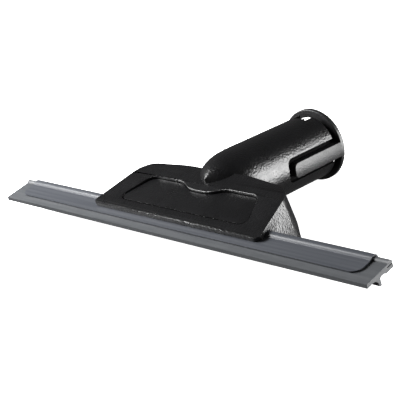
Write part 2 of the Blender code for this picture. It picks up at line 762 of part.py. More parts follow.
def make_nozzle_bar():
    """Bar of steam jets under the blade, fed by an inlet barb at its middle."""
    bar = bar_prism("nozzle_bar", -0.0002, colour="brass")
    frame = jet_frame()
    inlet = rod("add_inlet", BARB_RADIUS, -0.0425, -0.0326, INLET)
    boolean(bar, "UNION", inlet)
    duct_frame = (frame @ Matrix.Translation((0, 0, -0.0034))
                  @ Matrix.Rotation(math.pi / 2, 4, "Y") @ Matrix.Rotation(0.2, 4, "Z"))
    duct = rod("cut_duct", 0.0012, -0.0460, 0.0460, duct_frame, steps=12)
    feed = rod("cut_feed", 0.0016, -0.0430, -0.0300, INLET, steps=14)
    boolean(bar, "DIFFERENCE", duct, feed)
    for i in range(NOZZLE_COUNT):
        x = (i - (NOZZLE_COUNT - 1) / 2) * NOZZLE_PITCH
        jet = rod(f"cut_jet_{i}", 0.0006, -0.0029, 0.0020,
                  frame @ Matrix.Translation((x, 0, 0)), steps=8)
        boolean(bar, "DIFFERENCE", jet)
    return bar


# ----------------------------------------------------------------------- screws
def make_base_screw(index, x):
    """Self-tapping screw from below, its head sunk in the base."""
    profile = [(0, 0.0130), (0.0006, 0.0130), (0.0013, 0.0115), (0.0013, 0.0023),
               (0.0028, 0.0023), (0.0028, 0.0009), (0.0022, 0.0004), (0, 0.0004)]
    screw = turned(f"base_screw_{index}", profile, screw_axis(x), "steel", steps=14)
    socket = rod(f"cut_drive_{index}", 0.0013, -0.0010, 0.0015, screw_axis(x), steps=6)
    boolean(screw, "DIFFERENCE", socket)
    return screw


def make_rail_screw(side):
    """Grub screw that bears on the rail's hem from below."""
    tag = "right" if side > 0 else "left"
    axis = rail_screw_axis(side)
    high = -0.0018 - RAIL_SHEET - GAP
    profile = [(0, high), (0.0010, high), (0.0015, high - 0.0005), (0.0015, high - 0.0060),
               (0, high - 0.0060)]
    screw = turned("rail_screw_" + tag, profile, axis, "steel", steps=16)
    socket = rod("cut_grub_" + tag, 0.0008, high - 0.0080, high - 0.0045, axis, steps=6)
    boolean(screw, "DIFFERENCE", socket)
    return screw


def build():
    """Make every piece of the squeegee."""
    make_top_shell()
    make_base_cover()
    make_top_panel()
    make_rail()
    make_rubber_blade()
    make_release_ring()
    for side in (1, -1):
        make_latch_pawl(side)
        make_return_spring(side)
        make_rail_screw(side)
    make_spigot()
    make_spigot_nut()
    make_seal("spigot_seal_front", 0.0255)
    make_seal("spigot_seal_rear", 0.0305)
    make_steam_hose()
    make_hose_clip("hose_clip_front", (0, -0.0350, INLET_Z))
    make_hose_clip("hose_clip_rear", (0, -0.0060, AXIS_Z))
    make_nozzle_bar()
    for index, x in enumerate(BASE_SCREW_X, start=1):
        make_base_screw(index, x)


build()
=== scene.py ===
"""Looks of the window squeegee head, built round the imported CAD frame.

The CAD nodes seen from outside, with the steam spigot and its seals, are replaced by
finer pieces in the same place.  The other nodes keep their CAD shapes and are painted.
All finishes are procedural.  Metres; +X along the blade, +Y back to the socket's mouth,
+Z up.
"""
import json
import math

import bmesh
import bpy
from mathutils import Matrix, Vector


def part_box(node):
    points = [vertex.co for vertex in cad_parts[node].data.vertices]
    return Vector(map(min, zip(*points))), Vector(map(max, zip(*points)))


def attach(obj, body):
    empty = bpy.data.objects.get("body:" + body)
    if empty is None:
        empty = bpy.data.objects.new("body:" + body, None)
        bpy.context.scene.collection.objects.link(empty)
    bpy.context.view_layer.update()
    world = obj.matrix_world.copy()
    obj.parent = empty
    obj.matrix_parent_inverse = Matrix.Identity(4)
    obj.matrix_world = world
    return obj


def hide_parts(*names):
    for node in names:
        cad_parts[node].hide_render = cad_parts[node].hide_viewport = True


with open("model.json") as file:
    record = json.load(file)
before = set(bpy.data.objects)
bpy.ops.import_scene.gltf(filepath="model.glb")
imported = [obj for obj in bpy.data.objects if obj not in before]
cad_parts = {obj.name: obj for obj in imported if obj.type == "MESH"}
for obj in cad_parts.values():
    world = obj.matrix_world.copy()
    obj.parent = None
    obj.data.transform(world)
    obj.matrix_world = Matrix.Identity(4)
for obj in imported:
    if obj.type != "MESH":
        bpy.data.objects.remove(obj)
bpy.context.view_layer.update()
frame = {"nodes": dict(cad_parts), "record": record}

# ------------------------------------------------- sizes read from the CAD frame
RING_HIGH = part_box("release_ring")[1]
SHELL_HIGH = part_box("top_shell")[1]
RUBBER_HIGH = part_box("rubber_blade")[1]
RAIL_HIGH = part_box("rail")[1]
SPIGOT_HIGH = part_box("steam_spigot")[1]

MM = 0.001
GAP = 0.3 * MM
RING_RADIUS = RING_HIGH.x
AXIS_Z = RING_HIGH.z - RING_RADIUS
RING_BACK = RING_HIGH.y
TUBE_RADIUS = SHELL_HIGH.z - AXIS_Z
BLADE_HALF = RUBBER_HIGH.x
RAIL_HALF = RAIL_HIGH.x
SPIGOT_END = SPIGOT_HIGH.y

# --------------------------- socket tube: radii about its axis, heights along +Y
BORE_RADIUS = 14.4 * MM
NECK_RADIUS = 15.3 * MM               # thin neck inside the release ring
NECK_END = 57.8 * MM
TUBE_END = 54.7 * MM
# Slot grooves: faces between these radii get painted shade, a dark matt finish with almost
# no reflection.
PAINTED_SHADE_RADII = (15.0 * MM, 17.0 * MM)  # faces between them are dark and matt
NOTCH_HALF = 4.4 * MM                 # notch at the top of the tube's end
NOTCH_FRONT = 48.7 * MM
NOSE_REACH = 25.5 * MM
NOSE_WIDTH = (25.8 * MM, 3.3, 0.80)   # length, bulge, bluntness seen from above
NOSE_HEIGHT = (29.0 * MM, 2.3, 0.50)  # the same, seen from the side

# ------------------------------------------------ body, plate and inlay panel
BODY_BACK = -16.5 * MM
EDGE_ROUND = 1.8 * MM
RIM_ROUND = 0.5 * MM
BULKHEAD_BACK = 8.0 * MM
PLATE_DATUM = Vector((0.0, -51.0 * MM, 18.2 * MM))  # origin of the plate's plane
PLATE_PITCH = math.radians(18.55)
PLATE_FRONT = (58.7 * MM, -1.8 * MM)  # corners in the plate's plane, +X side
PLATE_BACK = (50.7 * MM, 33.9 * MM)
PLATE_BROW = (22.0 * MM, 37.4 * MM)
PLATE_CORNERS = (3.0 * MM, 13.0 * MM, 60.0 * MM)
BODY_DEPTH = 60 * MM
PANEL_FRONT_U = 5.4 * MM
PANEL_DIP = math.radians(3.4)
PANEL_SINK = 0.3 * MM
PANEL_THICKNESS = 0.85 * MM
PANEL_GAP = 0.55 * MM

# ------------------------- rubber and rail: (back, up) in the blade's own section
BLADE_PITCH = math.radians(12.02)
BLADE_DATUM = Vector((0.0, -60.2 * MM, 10.85 * MM))
RUBBER_TOP = 1.9 * MM
HEEL = (16.95 * MM, 1.3 * MM)         # centre of the rubber's round heel
HEEL_RADIUS = 1.65 * MM
HUMP_RADIUS = 2.6 * MM
SHEET = 0.6 * MM
RAIL_FRONT = 4.8 * MM

# ------------------------------------------------ release ring, tongues and slots
RING_BORE = 15.7 * MM
RING_FRONT = RING_BACK - 2.9 * MM
TONGUE_HALF = 3.9 * MM
TONGUE_INNER = 15.9 * MM
TONGUE_END = 19.9 * MM
TONGUE_CORNER = 2.8 * MM
SLOT_HALF = 6.6 * MM
SLOT_END = 17.3 * MM
SLOT_CORNER = 4.0 * MM
SLOT_FLOOR = 15.6 * MM

# ------------------------------------------------- underside, screws and steam line
SPAN = 70 * MM                        # half length of shapes that run past the body
FAR = 90 * MM                         # reach of the blocks that cut the body
PARTING_Z = 5.0 * MM
BASE_SCREW_X = [x * MM for x in (-48, -30, -13, 13, 30, 48)]
BASE_SCREW_Y = -31.0 * MM
RAIL_SCREW_X = 53.0 * MM
SEAT = {"hole": 1.7 * MM, "radius": 3.3 * MM, "depth": 2.6 * MM}
JET_FACE = ((-41.0 * MM, 0.0), (-50.2 * MM, 10.5 * MM))  # its low and high edge
BAR_SECTION = (2.4 * MM, 5.2 * MM)    # half height and depth of the nozzle bar
BAR_HALF = 49.0 * MM
BARB_RADIUS = 2.7 * MM
INLET_Z = 8.8 * MM
NOZZLE_COUNT = 12
NOZZLE_PITCH = 7.5 * MM
JET_RADIUS = 0.6 * MM
JET_DEPTH = 2.9 * MM
FEED_RADIUS = 1.6 * MM
KEY_WAY_RADIUS = 1.8 * MM
SPIGOT_BORE = 2.0 * MM
SPIGOT_RADIUS = 5.5 * MM
SEAL_GROOVE = 1.2 * MM
SEAL_HEIGHTS = (25.5 * MM, 30.5 * MM)
WELD = 0.002 * MM                     # points nearer than this are joined

# ------------------------------------------------------------- frames of the parts
ALONG_X = Matrix(((0, 0, 1), (1, 0, 0), (0, 1, 0))).to_4x4()
ALONG_Y = Matrix.Rotation(-math.pi / 2, 4, "X")
PLATE = Matrix.Translation(PLATE_DATUM) @ Matrix.Rotation(PLATE_PITCH, 4, "X")
BLADE = Matrix.Translation(BLADE_DATUM) @ Matrix.Rotation(BLADE_PITCH, 4, "X")
PANEL = (PLATE @ Matrix.Translation((0, PANEL_FRONT_U, 0))
         @ Matrix.Rotation(-PANEL_DIP, 4, "X"))
TUBE = Matrix.Translation((0, 0, AXIS_Z)) @ ALONG_Y
RADIAL = Matrix(((0, 0, 1), (0, 1, 0), (-1, 0, 0))).to_4x4()


# ------------------------------------------------------------------ mesh helpers
def weld(mesh):
    """Join doubled points and turn the faces outwards."""
    work = bmesh.new()
    work.from_mesh(mesh)
    bmesh.ops.remove_doubles(work, verts=work.verts, dist=WELD)
    bmesh.ops.recalc_face_normals(work, faces=work.faces)
    work.to_mesh(mesh)
    work.free()


def place(name, mesh, where):
    """A new object whose mesh is moved to its place in the frame."""
    mesh.transform(where)
    weld(mesh)
    made = bpy.data.objects.new(name, mesh)
    bpy.context.scene.collection.objects.link(made)
    return made


def taken_mesh(source):
    """The evaluated mesh of an object or curve, which is then removed."""
    bpy.context.view_layer.update()
    graph = bpy.context.evaluated_depsgraph_get()
    mesh = bpy.data.meshes.new_from_object(source.evaluated_get(graph))
    bpy.data.objects.remove(source, do_unlink=True)
    return mesh


def prism(name, outline, span, where):
    """A flat outline with thickness from span[0] to span[1] along local Z."""
    curve = bpy.data.curves.new(name, "CURVE")
    curve.dimensions = "2D"
    curve.fill_mode = "BOTH"
    curve.extrude = (span[1] - span[0]) / 2
    spline = curve.splines.new("POLY")
    spline.points.add(len(outline) - 1)
    for point, (across, up) in zip(spline.points, outline):
        point.co = (across, up, 0.0, 1.0)
    spline.use_cyclic_u = True
    source = bpy.data.objects.new(name + "_outline", curve)
    bpy.context.scene.collection.objects.link(source)
    mesh = taken_mesh(source)
    mesh.transform(Matrix.Translation((0, 0, (span[0] + span[1]) / 2)))
    return place(name, mesh, where)


def turned(name, profile, where, steps=128, closed=False):
    """A turned shape about local Z from (radius, height) points, top first."""
    mesh = bpy.data.meshes.new(name)
    edges = [(i, i + 1) for i in range(len(profile) - 1)]
    if closed:
        edges.append((len(profile) - 1, 0))
    mesh.from_pydata([(r, 0.0, h) for r, h in profile], edges, [])
    source = bpy.data.objects.new(name + "_profile", mesh)
    bpy.context.scene.collection.objects.link(source)
    screw = source.modifiers.new("turn", "SCREW")
    screw.steps = steps
    screw.render_steps = steps
    screw.use_merge_vertices = True
    screw.merge_threshold = WELD
    return place(name, taken_mesh(source), where)


def rod(name, radius, low, high, where, steps=48):
    """A plain cylinder along local Z."""
    return turned(name, [(0, high), (radius, high), (radius, low), (0, low)], where, steps)


def block(name, low, high):
    """A box between two corners."""
    mesh = bpy.data.meshes.new(name)
    work = bmesh.new()
    bmesh.ops.create_cube(work, size=1.0)
    size = [b - a for a, b in zip(low, high)]
    middle = [(a + b) / 2 for a, b in zip(low, high)]
    bmesh.ops.scale(work, vec=size, verts=work.verts)
    bmesh.ops.translate(work, vec=middle, verts=work.verts)
    work.to_mesh(mesh)
    work.free()
    return place(name, mesh, Matrix.Identity(4))


def bevel(made, width, segments=3, angle=60):
    """Round the sharp edges of an object."""
    step = made.modifiers.new("round", "BEVEL")
    step.width = width
    step.segments = segments
    step.limit_method = "ANGLE"
    step.angle_limit = math.radians(angle)
    return bake(made)


def bake(made):
    """Apply every modifier of an object."""
    bpy.context.view_layer.update()
    graph = bpy.context.evaluated_depsgraph_get()
    mesh = bpy.data.meshes.new_from_object(made.evaluated_get(graph))
    made.modifiers.clear()
    made.data = mesh
    return made


def combine(target, operation, *tools):
    """Cut, join or intersect target with each tool, which is used up."""
    for tool in tools:
        step = target.modifiers.new(tool.name, "BOOLEAN")
        step.operation = operation
        step.object = tool
        step.solver = "EXACT"
        bake(target)
        weld(target.data)
        bpy.data.objects.remove(tool, do_unlink=True)
    return target


def arc(centre, radius, start, end, steps):
    """Points along an arc; angles in degrees."""
    points = []
    for i in range(steps + 1):
        angle = math.radians(start + (end - start) * i / steps)
        points.append((centre[0] + radius * math.cos(angle),
                       centre[1] + radius * math.sin(angle)))
    return points


def rounded(corners, steps=10):
    """A closed outline from (x, y, radius) corners, each corner an arc."""
    outline = []
    count = len(corners)
    for i, (x, y, radius) in enumerate(corners):
        here = Vector((x, y))
        before = (Vector(corners[i - 1][:2]) - here).normalized()
        after = (Vector(corners[(i + 1) % count][:2]) - here).normalized()
        if radius == 0:
            outline.append((x, y))
            continue
        half = before.angle(after) / 2
        centre = here + (before + after).normalized() * radius / math.sin(half)
        reach = radius / math.tan(half)
        first = here + before * reach - centre
        last = here + after * reach - centre
        turn = first.angle_signed(last)
        for k in range(steps + 1):
            spoke = first.copy()
            spoke.rotate(Matrix.Rotation(-turn * k / steps, 2))
            outline.append(tuple(centre + spoke))
    return outline


def mirrored(right_half):
    """A full list of corners from those on the +X side, front to back."""
    return right_half + [(-x, y, radius) for x, y, radius in reversed(right_half)]


def finish_piece(made, body, node, material, smooth=40):
    """Shade, paint and fix a finished piece to its body in place of its CAD node."""
    made.data.materials.clear()
    made.data.materials.append(material)
    made.data.shade_smooth()
    made.data.set_sharp_from_angle(angle=math.radians(smooth))
    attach(made, body)
    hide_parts(node)
    return made


# --------------------------------------------------------------------- materials
class Look:
    """A small builder for procedural materials in object coordinates."""

    def __init__(self, name, colour, roughness, metallic=0.0):
        self.material = bpy.data.materials.new(name)
        self.material.use_nodes = True
        self.tree = self.material.node_tree
        self.shader = self.tree.nodes["Principled BSDF"]
        self.shader.inputs["Base Color"].default_value = (*colour, 1.0)
        self.shader.inputs["Roughness"].default_value = roughness
        self.shader.inputs["Metallic"].default_value = metallic
        self.where = self.tree.nodes.new("ShaderNodeTexCoord").outputs["Object"]
        self.normal = None

    def link(self, output, socket):
        """Join a node's output to an input."""
        self.tree.links.new(output, socket)

    def stretched(self, scale):
        """Object coordinates scaled per axis, in cycles per metre."""
        mapping = self.tree.nodes.new("ShaderNodeMapping")
        mapping.inputs["Scale"].default_value = scale
        self.link(self.where, mapping.inputs["Vector"])
        return mapping.outputs["Vector"]

    def noise(self, scale, detail=2.0, roughness=0.5):
        """Noise with the given cycles per metre along X, Y and Z."""
        node = self.tree.nodes.new("ShaderNodeTexNoise")
        node.inputs["Scale"].default_value = 1.0
        node.inputs["Detail"].default_value = detail
        node.inputs["Roughness"].default_value = roughness
        self.link(self.stretched(scale), node.inputs["Vector"])
        return node.outputs["Fac"]

    def ramp(self, value, low, high):
        """Value mapped from its middle range to low...high."""
        node = self.tree.nodes.new("ShaderNodeMapRange")
        node.inputs["From Min"].default_value = 0.3
        node.inputs["From Max"].default_value = 0.7
        node.inputs["To Min"].default_value = low
        node.inputs["To Max"].default_value = high
        self.link(value, node.inputs["Value"])
        return node.outputs["Result"]

    def vary_roughness(self, value, low, high):
        """Roughness between low and high."""
        self.link(self.ramp(value, low, high), self.shader.inputs["Roughness"])

    def vary_colour(self, value, dark, light):
        """Base colour between dark and light."""
        node = self.tree.nodes.new("ShaderNodeMix")
        node.data_type = "RGBA"
        node.inputs["A"].default_value = (*dark, 1.0)
        node.inputs["B"].default_value = (*light, 1.0)
        self.link(self.ramp(value, 0.0, 1.0), node.inputs["Factor"])
        self.link(node.outputs["Result"], self.shader.inputs["Base Color"])

    def bump(self, value, height):
        """Raise the surface by value times height, on top of earlier bumps."""
        node = self.tree.nodes.new("ShaderNodeBump")
        node.inputs["Distance"].default_value = height
        node.inputs["Strength"].default_value = 1.0
        self.link(value, node.inputs["Height"])
        if self.normal:
            self.link(self.normal, node.inputs["Normal"])
        self.normal = node.outputs["Normal"]
        self.link(self.normal, self.shader.inputs["Normal"])


BLACK = ((0.0035, 0.0035, 0.0038), (0.0050, 0.0050, 0.0054))
RING_BLACK = ((0.008, 0.008, 0.0085), (0.011, 0.011, 0.0115))
RAIL_GREY = ((0.040, 0.043, 0.050), (0.060, 0.063, 0.070))
RUBBER_GREY = ((0.045, 0.048, 0.052), (0.065, 0.068, 0.072))
BRASS = ((0.66, 0.46, 0.21), (0.76, 0.56, 0.29))
HOSE_RED = ((0.50, 0.13, 0.08), (0.60, 0.19, 0.12))
STEEL = ((0.52, 0.53, 0.55), (0.62, 0.63, 0.65))


def moulded(name, shades, rough, grain, height):
    """Moulded plastic with a fine eroded grain."""
    dark, light = shades
    look = Look(name, dark, rough[0])
    speck = look.noise((grain, grain, grain), 1.0, 0.5)
    look.vary_colour(look.noise((60, 60, 60), 2.0), dark, light)
    look.vary_roughness(look.noise((220, 220, 220), 2.0), *rough)
    look.bump(speck, height)
    look.shader.inputs["Specular IOR Level"].default_value = 0.4
    return look.material


def make_materials():
    """All the finishes, by the record's slot names."""
    looks = {}
    looks["black_plastic"] = moulded("black_plastic", BLACK, (0.26, 0.32), 1000,
                                     0.20 * MM)
    # Painted shade: a dark, matt finish with almost no reflection for the slot grooves'
    # faces, standing in for their deep shadow.
    groove = Look("groove", (0.004, 0.004, 0.004), 0.9)
    groove.vary_roughness(groove.noise((300, 300, 300), 2.0), 0.8, 1.0)
    groove.bump(groove.noise((900, 900, 900), 2.0), 0.02 * MM)
    groove.shader.inputs["Specular IOR Level"].default_value = 0.05
    looks["groove"] = groove.material
    looks["panel_plastic"] = moulded("panel_plastic", BLACK, (0.26, 0.32), 1200,
                                     0.10 * MM)
    looks["ring_plastic"] = moulded("ring_plastic", RING_BLACK, (0.34, 0.42), 1200,
                                    0.18 * MM)

    rail = Look("rail_metal", (0.050, 0.053, 0.060), 0.35)
    brushed = rail.noise((25, 2600, 2600), 4.0, 0.6)
    rail.vary_roughness(brushed, 0.30, 0.40)
    rail.vary_colour(rail.noise((12, 900, 900), 3.0), *RAIL_GREY)
    rail.bump(brushed, 0.01 * MM)
    rail.shader.inputs["Specular IOR Level"].default_value = 0.22
    looks["rail_metal"] = rail.material

    rubber = Look("blade_rubber", (0.12, 0.125, 0.13), 0.5)
    rubber.vary_colour(rubber.noise((30, 500, 500), 3.0), *RUBBER_GREY)
    rubber.vary_roughness(rubber.noise((300, 300, 300), 2.0), 0.45, 0.60)
    rubber.bump(rubber.noise((40, 1800, 1800), 2.0), 0.02 * MM)
    looks["blade_rubber"] = rubber.material

    brass = Look("brass", (0.72, 0.52, 0.25), 0.3, 1.0)
    brass.vary_roughness(brass.noise((400, 3000, 400), 3.0), 0.22, 0.38)
    brass.vary_colour(brass.noise((200, 200, 200), 2.0), *BRASS)
    brass.bump(brass.noise((300, 4000, 300), 2.0), 0.01 * MM)
    looks["brass"] = brass.material

    seal = Look("seal_rubber", (0.02, 0.02, 0.02), 0.5)
    seal.vary_roughness(seal.noise((900, 900, 900), 2.0), 0.40, 0.60)
    seal.bump(seal.noise((1200, 1200, 1200), 2.0), 0.02 * MM)
    looks["seal_rubber"] = seal.material

    hose = Look("hose_silicone", (0.55, 0.16, 0.10), 0.5)
    hose.vary_colour(hose.noise((120, 120, 120), 2.0), *HOSE_RED)
    hose.vary_roughness(hose.noise((600, 600, 600), 2.0), 0.42, 0.58)
    hose.bump(hose.noise((900, 900, 900), 2.0), 0.03 * MM)
    looks["hose_silicone"] = hose.material

    steel = Look("steel", (0.58, 0.59, 0.61), 0.3, 1.0)
    steel.vary_roughness(steel.noise((900, 900, 900), 3.0), 0.22, 0.38)
    steel.vary_colour(steel.noise((300, 300, 300), 2.0), *STEEL)
    steel.bump(steel.noise((1500, 1500, 1500), 2.0), 0.01 * MM)
    looks["steel"] = steel.material
    return looks


# --------------------------------------------------------------- shell and cover
def plate_outline():
    """Outline of the plate."""
    points = (PLATE_FRONT, PLATE_BACK, PLATE_BROW)
    return rounded(mirrored([
        (*point, corner) for point, corner in zip(points, PLATE_CORNERS)]), steps=16)


def side_outline():
    """Side view of the body below the plate: slanting front, rounded back."""
    return rounded([
        (*JET_FACE[0], 1.0 * MM),
        (BODY_BACK, 0.0, 4.5 * MM),
        (BODY_BACK, 7.5 * MM, 12.0 * MM),
        (-12.5 * MM, 18.0 * MM, 12.0 * MM),
        (-10.0 * MM, 60.0 * MM, 0.0),
        (-80.0 * MM, 60.0 * MM, 0.0),
        (-80.0 * MM, 4.5 * MM, 0.0),
        (*JET_FACE[1], 0.8 * MM),
    ], steps=12)


def nose_share(ahead, shape):
    """Share of the full radius left at a distance ahead of the full tube."""
    length, bulge, bluntness = shape
    return max(1.0 - (ahead / length) ** bulge, 0.0) ** bluntness


def tube_with_nose():
    """Round tube whose nose narrows faster from side to side than in height."""
    profile = [(0.0, NECK_END), (NECK_RADIUS, NECK_END), (NECK_RADIUS, TUBE_END),
               (TUBE_RADIUS, TUBE_END)]
    steps = 48
    for i in range(steps + 1):
        ahead = NOSE_REACH * math.sin(math.pi / 2 * i / steps)
        profile.append((TUBE_RADIUS * nose_share(ahead, NOSE_HEIGHT), -ahead))
    tube = turned("tube", profile + [(0.0, -NOSE_REACH)], TUBE)
    for vertex in tube.data.vertices:
        ahead = max(-vertex.co.y, 0.0)
        vertex.co.x *= nose_share(ahead, NOSE_WIDTH) / nose_share(ahead, NOSE_HEIGHT)
    return tube


def side_frame(side):
    """Local X runs out from the tube's axis at the given side, local Y back."""
    turn = 0 if side > 0 else math.pi
    return Matrix.Translation((0, 0, AXIS_Z)) @ Matrix.Rotation(turn, 4, "Y")


def panel_outline(grow=0.0):
    """Inlay panel: straight front, slanting sides, dip round the nose."""
    lean = 0.28 * grow
    return rounded(mirrored([
        (44.6 * MM + 1.5 * grow, -grow, 3.4 * MM + grow),
        (36.9 * MM + 0.7 * grow, 19.7 * MM + grow, 6.0 * MM + grow),
        (15.0 * MM - lean, 19.7 * MM + grow, 15.0 * MM + grow),
        (7.3 * MM - lean, 15.0 * MM + grow, 15.0 * MM - grow),
    ]), steps=14)


def channel():
    """Space for the rail and rubber: open at the front, arched over the hump."""
    roof = RUBBER_TOP + GAP + SHEET + GAP
    y, z = HEEL
    reach = HUMP_RADIUS + GAP
    outline = [(-30 * MM, -2.6 * MM), (y + reach - 0.8 * MM, -2.6 * MM),
               (y + reach, -1.8 * MM)]
    outline += arc((y, z), reach, 0, 128, 24)
    outline += [(14.2 * MM, roof + 0.25 * MM), (13.2 * MM, roof), (-30 * MM, roof)]
    return prism("channel", outline, (-SPAN, SPAN), BLADE @ ALONG_X)


def tube_slot(side):
    """Slot in the tube wall for one tongue."""
    outline = rounded([
        (-SLOT_HALF, 70 * MM, 0.0), (-SLOT_HALF, SLOT_END, SLOT_CORNER),
        (SLOT_HALF, SLOT_END, SLOT_CORNER), (SLOT_HALF, 70 * MM, 0.0)])
    slot = prism("slot", outline, (12 * MM, 30 * MM), side_frame(side) @ RADIAL)
    core = rod("slot_core", SLOT_FLOOR, -100 * MM, 100 * MM, TUBE, steps=128)
    return combine(slot, "DIFFERENCE", core)


def round_pocket_rim(shell):
    """Round the rim of the panel's pocket, where it meets the plate's flat top."""
    into_plate = PLATE.inverted()
    work = bmesh.new()
    work.from_mesh(shell.data)
    rim = []
    for edge in work.edges:
        ends = [into_plate @ vertex.co for vertex in edge.verts]
        flat = all(abs(end.z) < 0.01 * MM for end in ends)
        inside = all(abs(end.x) < 46 * MM and 4 * MM < end.y < 26.5 * MM for end in ends)
        if flat and inside and edge.is_manifold and edge.calc_face_angle() > 1.0:
            rim.append(edge)
    bmesh.ops.bevel(work, geom=rim, offset=RIM_ROUND, segments=4, profile=0.5,
                    affect="EDGES")
    work.to_mesh(shell.data)
    work.free()


def make_shell(looks):
    """Plate, flanks, nose and socket tube in one moulding."""
    shell = bevel(prism("shell", plate_outline(), (-BODY_DEPTH, 0.0), PLATE), EDGE_ROUND, 8)
    side = prism("shell_side", side_outline(), (-SPAN, SPAN), ALONG_X)
    combine(shell, "INTERSECT", side)
    combine(shell, "UNION", tube_with_nose())
    below = block("below", (-FAR, -FAR, -10 * MM), (FAR, BODY_BACK + GAP, 5.3 * MM))
    inside = [(0.0, SPAN), (BORE_RADIUS, SPAN), (BORE_RADIUS, BULKHEAD_BACK),
              (0.0, BULKHEAD_BACK)]
    combine(shell, "DIFFERENCE", below, turned("bore", inside, TUBE))
    for facing in (1, -1):
        combine(shell, "DIFFERENCE", tube_slot(facing))
    notch = block("notch", (-NOTCH_HALF, NOTCH_FRONT, 30 * MM),
                  (NOTCH_HALF, 60 * MM, 45 * MM))
    pocket = prism("pocket", panel_outline(PANEL_GAP),
                   (-PANEL_SINK - PANEL_THICKNESS - 0.25 * MM, 10 * MM), PANEL)
    combine(shell, "DIFFERENCE", notch, pocket, channel())
    round_pocket_rim(shell)
    finish_piece(shell, "head", "top_shell", looks["black_plastic"])
    # Painted shade: the slot grooves' faces take the dark, matt groove finish in place of
    # the plastic's reflection.
    shell.data.materials.append(looks["groove"])
    for face in shell.data.polygons:
        around = math.hypot(face.center.x, face.center.z - AXIS_Z)
        if face.center.y > SLOT_END and PAINTED_SHADE_RADII[0] < around < PAINTED_SHADE_RADII[1]:
            face.material_index = 1
    return shell


def make_panel(looks):
    """Thin inlay in the plate's pocket."""
    top = -PANEL_SINK
    panel = prism("panel", panel_outline(), (top - PANEL_THICKNESS, top), PANEL)
    bevel(panel, 0.4 * MM, 4)
    return finish_piece(panel, "head", "top_panel",
                        looks["panel_plastic"])


# ----------------------------------------------------------------- rail and blade
def make_rail(looks):
    """Thin sheet: flat skirt, half-round hump, and a hem folded under the heel."""
    y, z = HEEL
    low = RUBBER_TOP + GAP
    high = low + SHEET
    inner = HUMP_RADIUS - SHEET
    outline = [(RAIL_FRONT, low)] + arc((y, z), inner, 154, 0, 20)
    outline += arc((y + inner - 0.6 * MM, -1.2 * MM), 0.6 * MM, 0, -90, 6)
    outline += [(15.5 * MM, -1.8 * MM), (15.5 * MM, -2.3 * MM)]
    outline += arc((y + HUMP_RADIUS - 1.1 * MM, -1.2 * MM), 1.1 * MM, -90, 0, 8)
    outline += arc((y, z), HUMP_RADIUS, 0, 133, 28)
    outline += arc((13.9 * MM, high + 0.9 * MM), 0.9 * MM, -52, -90, 8)
    outline += [(RAIL_FRONT, high)]
    rail = prism("rail_skin", outline, (-RAIL_HALF, RAIL_HALF), BLADE @ ALONG_X)
    plan = prism("rail_plan", rounded(mirrored([
        (RAIL_HALF - 0.05 * MM, RAIL_FRONT, 5.0 * MM),
        (RAIL_HALF - 0.05 * MM, 30 * MM, 0.0)]), steps=16), (-10 * MM, 10 * MM), BLADE)
    combine(rail, "INTERSECT", plan)
    return finish_piece(rail, "head", "rail", looks["rail_metal"], 35)


def make_rubber(looks):
    """Two-lipped rubber: flat front lip, hooked second lip, split round heel."""
    y, z = HEEL
    back = y + HEEL_RADIUS
    outline = [(0.0, 0.0), (0.3 * MM, RUBBER_TOP)]
    outline += arc((y, z), HEEL_RADIUS, 159, 0, 18)
    outline += [(back, 0.9 * MM), (14.6 * MM, 0.9 * MM), (14.6 * MM, 0.4 * MM),
                (back, 0.4 * MM)]
    outline += arc((back - 0.6 * MM, -0.8 * MM), 0.6 * MM, 0, -90, 6)
    outline += [(13.2 * MM, -1.4 * MM), (11.8 * MM, -0.5 * MM), (9.6 * MM, -0.5 * MM),
                (9.0 * MM, -1.0 * MM), (8.9 * MM, -4.2 * MM), (7.9 * MM, -4.3 * MM)]
    outline += arc((4.0 * MM, -3.4 * MM), 3.4 * MM, 0, 90, 12)
    rubber = prism("rubber_skin", outline, (-BLADE_HALF, BLADE_HALF), BLADE @ ALONG_X)
    return finish_piece(rubber, "head", "rubber_blade",
                        looks["blade_rubber"])


# ------------------------------------------------------------------- release ring
def make_ring(looks):
    """Ring behind the tube's end with two long tongues let into the tube."""
    edge = 0.6 * MM
    corner = arc((RING_RADIUS - edge, RING_BACK - edge), edge, 90, 0, 6)
    corner += arc((RING_RADIUS - edge, RING_FRONT + edge), edge, 0, -90, 6)
    profile = [(RING_BORE, RING_BACK)] + corner + [(RING_BORE, RING_FRONT)]
    ring = turned("ring_skin", profile, TUBE, closed=True)
    back = RING_BACK - 1.0 * MM
    for facing in (1, -1):
        strip = prism("tongue", rounded([
            (-TONGUE_HALF, back, 0.0), (-TONGUE_HALF, TONGUE_END, TONGUE_CORNER),
            (TONGUE_HALF, TONGUE_END, TONGUE_CORNER), (TONGUE_HALF, back, 0.0)]),
            (10 * MM, 30 * MM), side_frame(facing) @ RADIAL)
        outer = RING_RADIUS - 0.05 * MM
        skin = turned("tongue_skin", [(TONGUE_INNER, back), (outer, back),
                                      (outer, 10 * MM), (TONGUE_INNER, 10 * MM)],
                      TUBE, closed=True)
        combine(strip, "INTERSECT", skin)
        bevel(strip, 0.5 * MM, 4)
        combine(ring, "UNION", strip)
    flat = block("flat", (-10 * MM, 40 * MM, -10 * MM), (10 * MM, 70 * MM, 0.0))
    combine(ring, "DIFFERENCE", flat)
    return finish_piece(ring, "ring", "release_ring",
                        looks["ring_plastic"])


# ------------------------------------------------------- underside and steam line
def screw_axis(x):
    """Frame of one base screw, pointing up from the resting plane."""
    return Matrix.Translation((x, BASE_SCREW_Y, 0.0))


def rail_screw_axis(side):
    """Frame of one rail grub screw, square to the blade under its heel."""
    return BLADE @ Matrix.Translation((side * RAIL_SCREW_X, HEEL[0], 0.0))


